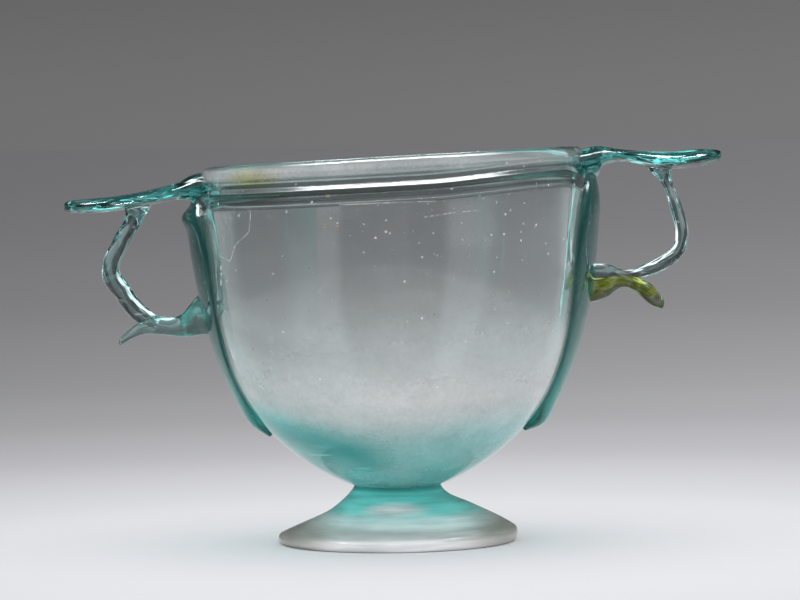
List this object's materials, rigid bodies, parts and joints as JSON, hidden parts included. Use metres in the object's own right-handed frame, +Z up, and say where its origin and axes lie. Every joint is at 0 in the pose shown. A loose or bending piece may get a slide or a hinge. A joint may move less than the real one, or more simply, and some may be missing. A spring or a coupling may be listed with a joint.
{
  "type": "glass skyphos",
  "caption": "Deep footed drinking cup of blown glass with an in-folded rim and a ring handle with thumb-rest, finger spur and clawed wall trail on each side.",
  "frame": {"origin": "on the axis of the cup, in the plane that the foot rests on", "axes": "+X along the handles towards the handle with the yellow-green spur, +Z up the axis of the cup"},
  "size_m": [0.1792, 0.107, 0.1073],
  "materials": {
    "blue_green_glass": "clear blue-green blown glass, nearly colourless where thin, turquoise where thick, with faint weathering",
    "yellow_green_glass": "clear yellow-green drawn glass"
  },
  "bodies": {
    "root": {"bowl": "blue_green_glass", "foot": "blue_green_glass", "left_thumb_rest": "blue_green_glass", "left_ring": "blue_green_glass", "left_finger_spur": "blue_green_glass", "left_wall_trail": "blue_green_glass", "right_thumb_rest": "blue_green_glass", "right_ring": "blue_green_glass", "right_finger_spur": "yellow_green_glass", "right_wall_trail": "blue_green_glass"}
  },
  "joints": []
}
